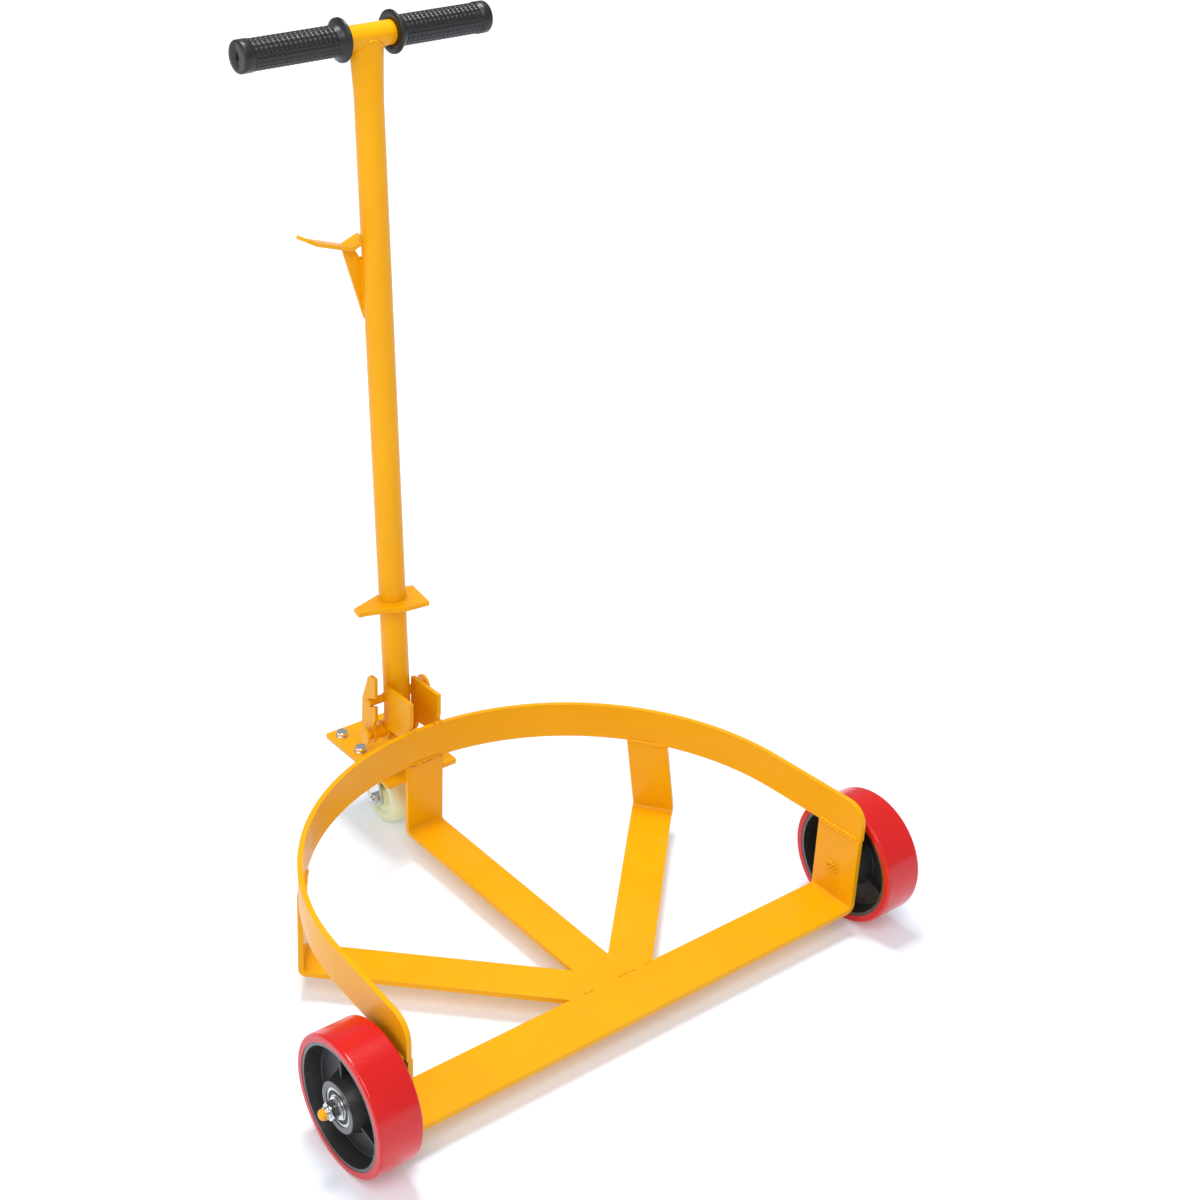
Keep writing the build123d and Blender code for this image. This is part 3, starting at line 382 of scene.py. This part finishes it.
def bead(soup, points, radius, rng, pitch=0.0035, rough=0.14):
    """A weld bead along a path: overlapping ripples, a wandering width and rounded ends."""
    path = resampled([Vector(p) for p in points], BEAD_STEP)
    total = (len(path) - 1) * BEAD_STEP
    phase = rng.uniform(0.0, 1.0)
    wander = [rng.uniform(-1.0, 1.0) for _ in range(len(path) // 8 + 3)]
    rings = []
    for index, centre in enumerate(path):
        ahead = path[min(index + 1, len(path) - 1)]
        behind = path[max(index - 1, 0)]
        forward = (ahead - behind).normalized()
        side = forward.cross(Vector((0.13, 0.21, 0.97))).normalized()
        up = side.cross(forward)
        along = index * BEAD_STEP
        ripple = 1 - rough + rough * abs(math.sin(math.pi * (along / pitch + phase)))
        cell = index / 8
        low = int(cell)
        drift = wander[low] * (1 - cell + low) + wander[low + 1] * (cell - low)
        end = min(along, total - along)
        taper = math.sqrt(max(0.0, 1 - max(0.0, 1 - end / (radius * 0.9)) ** 2))
        size = radius * ripple * (1 + 0.7 * rough * drift) * max(taper, 0.12)
        shift = side * (0.7 * rough * radius * drift)
        ring = []
        for step in range(BEAD_SIDES):
            turn = 2 * math.pi * step / BEAD_SIDES
            across = side * (math.cos(turn) * size)
            above = up * (math.sin(turn) * size * BEAD_FLATNESS)
            ring.append(centre + shift + across + above)
        rings.append(ring)
    soup.skin(rings)


def weld_piece(name, paths, radius, body, seed, pitch=0.0035, rough=0.14):
    """One piece made of several beads on the same body."""
    rng = random.Random(seed)
    soup = Soup()
    for points in paths:
        bead(soup, points, radius, rng, pitch, rough)
    return piece(name, soup.vertices, soup.faces, "yellow_paint", body)


def tail_x(y, radius):
    """X of the ring's right tail at y, for a face at the given radius."""
    start_x = radius * math.cos(TAIL_FLARE)
    start_y = radius * math.sin(TAIL_FLARE)
    return start_x + (start_y - y) * math.tan(TAIL_FLARE)


def mirrored(points):
    return [Vector((-p[0], p[1], p[2])) for p in points]


def riser_top(node):
    """The inner top edge of a spoke's riser, as its two ends."""
    vertices = frame["nodes"][node].data.vertices
    top = [v.co - RING_CENTRE for v in vertices if v.co.z > RING_BOTTOM - 0.0002]
    near = sorted(top, key=lambda p: Vector((p.x, p.y)).length)
    inner = near[:max(2, len(near) // 2)]
    low = min(inner, key=lambda p: p.x)
    high = max(inner, key=lambda p: p.x)
    return low.copy(), high.copy()


# ---- weld beads ----
ear_y = [CROSSBAR_FRONT + 0.004, CROSSBAR_BACK - 0.003]
inner_radius = RING_RADIUS - PLATE / 2
outer_radius = RING_RADIUS + PLATE / 2
ear_inner = [Vector((tail_x(y, inner_radius), y, RING_BOTTOM)) for y in ear_y]
ear_outer = [Vector((tail_x(y, outer_radius), y, RING_BOTTOM)) for y in ear_y]
ear_lap = [point + Vector((0, 0, 0.0028)) for point in ear_inner]
weld_piece("weld_ears_right", [ear_inner, ear_outer], 0.0034, "frame", 1, 0.0052, 0.42)
weld_piece("weld_ears_left", [mirrored(ear_inner), mirrored(ear_outer)], 0.0034, "frame", 2, 0.0052, 0.42)
weld_piece("weld_ear_laps", [ear_lap, mirrored(ear_lap)], 0.0030, "frame", 3, 0.0066, 0.50)


def stud_weld(rise):
    """A zigzag of weld over the end of the axle stud, on the right ear's inner face."""
    points = []
    for index in range(7):
        y = AXLE.y - 0.0095 + 0.019 * index / 6
        points.append(Vector((tail_x(y, inner_radius) + 0.0004, y, AXLE.z + rise + 0.0026 * (-1) ** index)))
    return points


stud_welds = [stud_weld(-0.0032), stud_weld(0.0032)]
weld_piece("weld_stud_right", stud_welds, 0.0030, "frame", 4, 0.0058, 0.45)
weld_piece("weld_stud_left", [mirrored(points) for points in stud_welds], 0.0030, "frame", 5, 0.0058, 0.45)

for number, node in enumerate(("spoke_left", "spoke_middle", "spoke_right")):
    low, high = riser_top(node)
    weld_piece("weld_" + node, [[low.lerp(high, 0.03), low.lerp(high, 0.97)]], 0.0030, "frame", 10 + number)

seam_x = CROSSBAR_BACK - SPOKE_ORIGIN_Y + SPOKE_HALF * math.sqrt(2)
seam_y = SPOKE_HALF + SPOKE_ORIGIN_Y + SPOKE_HALF * math.sqrt(2)


def ground_joint(reach=0.012, inset=0.0007, height=0.00012):
    """The welds between spokes and crossbar, ground flush: one thin skin over the joints of the flats."""
    across = 2 * SPOKE_HALF / math.sqrt(2)
    half = [
        (seam_x + reach, CROSSBAR_BACK - reach), (seam_x + reach, CROSSBAR_BACK - inset),
        (seam_x - inset, CROSSBAR_BACK - inset), (seam_x - inset + reach, CROSSBAR_BACK + inset + reach),
        (seam_x - inset + reach - across, CROSSBAR_BACK - inset + reach + across),
        (SPOKE_HALF - inset, seam_y - inset), (SPOKE_HALF - inset, seam_y + reach),
    ]
    outline = half + [(-x, y) for x, y in reversed(half)]
    rings = [[Vector((x, y, CROSSBAR_TOP + z)) for x, y in outline] for z in (-0.0002, height)]
    soup = Soup()
    soup.skin(rings)
    made = piece("ground_joint", soup.vertices, soup.faces, "yellow_paint", "frame")
    made.data.polygons.foreach_set("use_smooth", [False] * len(made.data.polygons))
    made.data.materials.clear()
    made.data.materials.append(powder_coat("yellow_paint_flush", *YELLOW, edge=0.0))


ground_joint()
seam_spots = [(-0.040, -0.027), (0.009, 0.033), (0.047, 0.057)]
spot_paths = []
for low, high in seam_spots:
    spot_paths.append([(low, CROSSBAR_BACK, CROSSBAR_TOP), (high, CROSSBAR_BACK, CROSSBAR_TOP)])
weld_piece("weld_spokes_crossbar", spot_paths, 0.0020, "frame", 20, 0.0050, 0.40)

lug_front = inner_radius + 0.002
lug_welds = []
for x in (-LUG_INNER - LUG_THICKNESS, -LUG_INNER, LUG_INNER, LUG_INNER + LUG_THICKNESS):
    over = [(x, lug_front, RING_TOP + 0.0015), (x, outer_radius - 0.0003, RING_TOP)]
    lug_welds.append(over + [(x, outer_radius, RING_TOP - 0.008)])
weld_piece("weld_lugs", lug_welds, 0.0030, "frame", 30)
lug_fronts = []
for side in (-1, 1):
    x = side * (LUG_INNER + LUG_THICKNESS / 2)
    lug_fronts.append([(x - 0.006, lug_front, RING_TOP + 0.001), (x + 0.006, lug_front, RING_TOP + 0.001)])
weld_piece("weld_lug_fronts", lug_fronts, 0.0042, "frame", 32, 0.0050)
deck_edge = outer_radius + 0.0003
deck_weld = [(-0.024, deck_edge, DECK_TOP), (0.024, deck_edge, DECK_TOP)]
weld_piece("weld_deck", [deck_weld], 0.0028, "frame", 31)

wrench_top = []
for index in range(73):
    turn = 2 * math.pi * index / 72
    reach = POLE_RADIUS + 0.0004
    wrench_top.append(on_handle(reach * math.cos(turn), reach * math.sin(turn), WRENCH_HEIGHT))
weld_piece("weld_wrench", [wrench_top], 0.0017, "handle", 40, 0.0028)

saddle = []
for index in range(73):
    turn = 2 * math.pi * index / 72
    x = 0.0195 * math.cos(turn)
    y = 0.0125 * math.sin(turn)
    z = T_BAR_HEIGHT - math.sqrt(max(0.0, T_BAR_RADIUS ** 2 - y * y))
    saddle.append(on_handle(x, y, z))
weld_piece("weld_t_bar", [saddle], 0.0020, "handle", 41, 0.0028)

hook_root = []
for index in range(17):
    turn = math.radians(180 - 60 * index / 16)
    x = POLE_RADIUS * math.cos(turn)
    z = HOOK_HEIGHT + HOOK_ROOT_RISE * (x - HOOK_ROOT_X) + 0.0024
    hook_root.append(on_handle(x, POLE_RADIUS * math.sin(turn), z))
brace_x = -math.sqrt(POLE_RADIUS ** 2 - BRACE_FRONT ** 2)
brace_side = []
for height in (BRACE_LENGTH - 0.001, 0.060, 0.040, 0.015):
    brace_side.append(on_handle(brace_x - 0.0002, BRACE_FRONT - 0.0004, HOOK_HEIGHT - height))
weld_piece("weld_hook", [hook_root, brace_side], 0.0018, "handle", 42, 0.0030)


def circle_on_pin(x, height, radius):
    """A circle round one of the cross pins, in the handle's own frame."""
    turns = [2 * math.pi * index / 36 for index in range(37)]
    return [on_handle(x, radius * math.cos(turn), height + radius * math.sin(turn)) for turn in turns]


pin_welds = [circle_on_pin(side * (POLE_RADIUS + 0.0003), STOP_PIN_HEIGHT, 0.0054) for side in (-1, 1)]
weld_piece("weld_stop_pin", pin_welds, 0.0017, "handle", 43, 0.0026)


# ---- moulded grips ----
def on_t_bar(along, turn, radius):
    """A point round the T-bar: distance along it from its middle, angle and radius."""
    point = Vector((along, radius * math.cos(turn), radius * math.sin(turn)))
    point = Matrix.Rotation(T_BAR_TURN, 3, "Z") @ point
    point = Matrix.Rotation(T_BAR_TILT, 3, "Y") @ point
    return on_handle(point.x, point.y, point.z + T_BAR_HEIGHT)


def pad(distance, pitch):
    """1 on a waffle pad and 0 in the groove round it, with sloping sides."""
    share = distance / pitch % 1.0
    return min(1.0, max(0.0, (min(share, 1.0 - share) - 0.11) / 0.08))


def waffle_grip(name, side, node):
    """Flange, waffle pads and a smooth raised collar at the outer end, which has a slot in it."""
    pads_around = 20
    samples = pads_around * 6
    pads_start = GRIP_START + 0.0125
    pads_end = GRIP_END - 0.0135
    pad_pitch = (pads_end - pads_start) / 17
    flange_end = GRIP_START + 0.004
    profile = [(T_BAR_RADIUS, GRIP_START), (GRIP_FLANGE_RADIUS - 0.0012, GRIP_START)]
    profile += [(GRIP_FLANGE_RADIUS, GRIP_START + 0.0012), (GRIP_FLANGE_RADIUS, flange_end - 0.0012)]
    profile += [(GRIP_FLANGE_RADIUS - 0.0014, flange_end), (GRIP_RADIUS + 0.0024, flange_end + 0.0020)]
    profile += [(GRIP_RADIUS + 0.0006, flange_end + 0.0045), (GRIP_RADIUS, flange_end + 0.0075)]
    rows = 170
    for row in range(rows + 1):
        profile.append((GRIP_RADIUS, pads_start + (pads_end - pads_start) * row / rows))
    collar = GRIP_RADIUS + 0.0007
    profile += [(collar, pads_end + 0.0010), (collar, GRIP_END - 0.0016)]
    profile += [(collar - 0.0005, GRIP_END - 0.0005)]
    profile += [(collar - 0.0016, GRIP_END), (0.0, GRIP_END), (0.0, T_BAR_LENGTH / 2 + 0.0003)]
    profile += [(T_BAR_RADIUS, T_BAR_LENGTH / 2 + 0.0003)]
    vertices = []
    for radius, along in profile:
        for sample in range(samples):
            turn = 2 * math.pi * sample / samples
            size = radius
            if radius == 0.0:
                size = 1.0 / math.hypot(math.cos(turn) / 0.0030, math.sin(turn) / 0.0064)
            elif pads_start <= along <= pads_end:
                raised = pad(along - pads_start, pad_pitch) * pad(sample / samples, 1.0 / pads_around)
                size = radius - 0.0009 * (1.0 - raised)
            vertices.append(on_t_bar(side * along, turn, size))
    faces = []
    count = len(profile)
    for row in range(count):
        following = (row + 1) % count
        for sample in range(samples):
            beside = (sample + 1) % samples
            face = [row * samples + sample, row * samples + beside]
            face += [following * samples + beside, following * samples + sample]
            faces.append(tuple(face if side < 0 else face[::-1]))
    grip = piece(name, vertices, faces, "black_grip", "handle")
    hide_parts(node)


waffle_grip("waffle_grip_left", -1, "grip_left")
waffle_grip("waffle_grip_right", 1, "grip_right")


# ---- screw threads ----
def thread_piece(name, start_x, end_x, centre, radius, pitch, body):
    """A screw thread along X, as a skin just outside the plain bar."""
    samples = 40
    rows = max(6, round(abs(end_x - start_x) / pitch * 10))
    rings = []
    for row in range(rows + 1):
        x = start_x + (end_x - start_x) * row / rows
        ring = []
        for sample in range(samples):
            turn = 2 * math.pi * sample / samples
            share = (x / pitch + sample / samples) % 1.0
            size = radius + 0.00008 + 0.00050 * (1.0 - abs(2.0 * share - 1.0))
            ring.append(Vector((x, centre.y + size * math.cos(turn), centre.z + size * math.sin(turn))))
        rings.append(ring)
    soup = Soup()
    soup.skin(rings)
    return piece(name, soup.vertices, soup.faces, "zinc_steel", body)


for side, name in ((-1, "stud_thread_left"), (1, "stud_thread_right")):
    start_x = side * (STUD_THREAD_START + 0.0002)
    thread_piece(name, start_x, side * STUD_PAINT_START, AXLE, STUD_RADIUS, 0.00175, "frame")
thread_piece("caster_bolt_thread", -0.0257, -0.0275, CASTER_AXLE, 0.0040, 0.00125, "caster_yoke")

# ---- floor, light and camera ----
floor_shader = Shader("studio_floor")
floor_tone = floor_shader.noise(1.5, 2.0)
floor_colour = floor_shader.blend(floor_tone, (0.80, 0.86, 0.95), (0.82, 0.88, 0.97))
floor_shader.set(Base_Color=floor_colour, Roughness=0.75, Specular_IOR_Level=0.2)
away = floor_shader.node("ShaderNodeVectorMath", operation="LENGTH")
floor_shader.feed(away.inputs[0], floor_shader.place)
floor_shader.set(Emission_Color=(1.0, 1.0, 1.0))
floor_shader.set(Emission_Strength=floor_shader.ramp(away.outputs["Value"], 0.9, 3.6, 0.16, 0.66))
floor_mesh = bpy.data.meshes.new("floor")
floor_mesh.from_pydata([(-15, -15, 0), (15, -15, 0), (15, 15, 0), (-15, 15, 0)], [], [(0, 1, 2, 3)])
floor_mesh.materials.append(floor_shader.material)
floor = bpy.data.objects.new("floor", floor_mesh)
bpy.context.scene.collection.objects.link(floor)


def area_light(name, place, target, size, power, colour=(1, 1, 1)):
    data = bpy.data.lights.new(name, "AREA")
    data.shape = "RECTANGLE"
    data.size = size[0]
    data.size_y = size[1]
    data.energy = power
    data.color = colour
    made = bpy.data.objects.new(name, data)
    made.location = place
    made.rotation_euler = (Vector(target) - Vector(place)).to_track_quat("-Z", "Y").to_euler()
    bpy.context.scene.collection.objects.link(made)
    return made


area_light("key", (-1.4, -1.8, 3.2), (0, 0, 0.2), (1.8, 1.8), 46)
area_light("top", (0.1, 0.5, 3.3), (0, 0, 0.1), (0.8, 0.8), 66)
area_light("side", (-3.0, 0.4, 1.5), (0, 0, 0.3), (0.9, 1.8), 14)

world = bpy.data.worlds.new("studio")
bpy.context.scene.world = world
world.use_nodes = True
lighting = world.node_tree.nodes["Background"]
lighting.inputs["Color"].default_value = (0.97, 0.98, 1.0, 1.0)
lighting.inputs["Strength"].default_value = 0.44
backdrop = world.node_tree.nodes.new("ShaderNodeBackground")     # what the camera sees past the floor
backdrop.inputs["Color"].default_value = (0.97, 0.98, 1.0, 1.0)
backdrop.inputs["Strength"].default_value = 0.95
light_path = world.node_tree.nodes.new("ShaderNodeLightPath")
either = world.node_tree.nodes.new("ShaderNodeMixShader")
world.node_tree.links.new(light_path.outputs["Is Camera Ray"], either.inputs[0])
world.node_tree.links.new(lighting.outputs["Background"], either.inputs[1])
world.node_tree.links.new(backdrop.outputs["Background"], either.inputs[2])
world.node_tree.links.new(either.outputs["Shader"], world.node_tree.nodes["World Output"].inputs["Surface"])

bpy.context.scene.view_settings.view_transform = "Standard"
bpy.context.scene.view_settings.look = "None"

azimuth = math.radians(CAMERA_AZIMUTH)
elevation = math.radians(CAMERA_ELEVATION)
roll = math.radians(CAMERA_ROLL)
level = math.cos(elevation)
forward = Vector((-math.sin(azimuth) * level, math.cos(azimuth) * level, -math.sin(elevation)))
level_right = forward.cross(Vector((0, 0, 1))).normalized()
level_up = level_right.cross(forward)
right = level_right * math.cos(roll) + level_up * math.sin(roll)
up = right.cross(forward)
camera_data = bpy.data.cameras.new("camera")
camera_data.sensor_width = 36.0
camera_data.lens = CAMERA_LENS
camera = bpy.data.objects.new("camera", camera_data)
rotation = Matrix((right, up, -forward)).transposed()
camera.matrix_world = Matrix.Translation(CAMERA_PLACE + RING_CENTRE) @ rotation.to_4x4()
bpy.context.scene.collection.objects.link(camera)
bpy.context.scene.camera = camera
